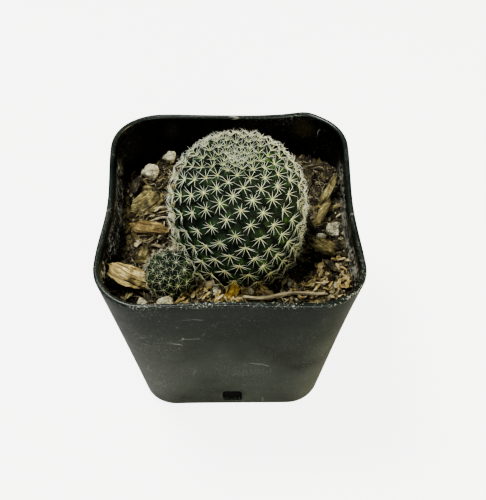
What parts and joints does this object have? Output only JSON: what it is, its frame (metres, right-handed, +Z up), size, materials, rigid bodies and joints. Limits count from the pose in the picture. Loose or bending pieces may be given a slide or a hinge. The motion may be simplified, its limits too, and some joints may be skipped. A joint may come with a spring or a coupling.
{
  "type": "potted globular cactus",
  "caption": "Small spiny globular cactus with an offset at its foot, growing in a tapered square plastic nursery pot of bark, perlite and soil.",
  "frame": {"origin": "middle of the pot's base, on the surface it stands on", "axes": "+Z up along the pot; -Y out of the pot's front; the offset grows at the front left, towards -X and -Y"},
  "size_m": [0.064, 0.064, 0.0817],
  "materials": {
    "pot_plastic": "satin",
    "substrate": "matte",
    "cactus_skin": "satin",
    "root_flesh": "matte",
    "bark": "matte",
    "perlite": "matte",
    "twig_wood": "matte"
  },
  "bodies": {
    "root": {"pot": "pot_plastic", "soil": "substrate", "main_stem": "cactus_skin", "offset_stem": "cactus_skin", "roots": "root_flesh", "bark_slab_front_left": "bark", "bark_chip_beside_offset": "bark", "bark_strip_left": "bark", "bark_slab_back_left": "bark", "bark_chip_back_left_wall": "bark", "bark_strip_back": "bark", "bark_chip_back": "bark", "bark_slab_back_right": "bark", "bark_splinter_right_upper": "bark", "bark_splinter_right_lower": "bark", "bark_chip_right": "bark", "bark_sliver_right": "bark", "bark_chip_front": "bark", "bark_chip_front_left": "bark", "bark_chip_front_right": "bark", "perlite_back_left": "perlite", "perlite_back": "perlite", "perlite_right": "perlite", "perlite_right_small": "perlite", "perlite_front_left": "perlite", "perlite_front_left_small": "perlite", "perlite_front": "perlite", "perlite_front_middle": "perlite", "perlite_front_right": "perlite", "perlite_right_wall": "perlite", "twig_front": "twig_wood", "straw_left": "twig_wood"}
  },
  "joints": []
}
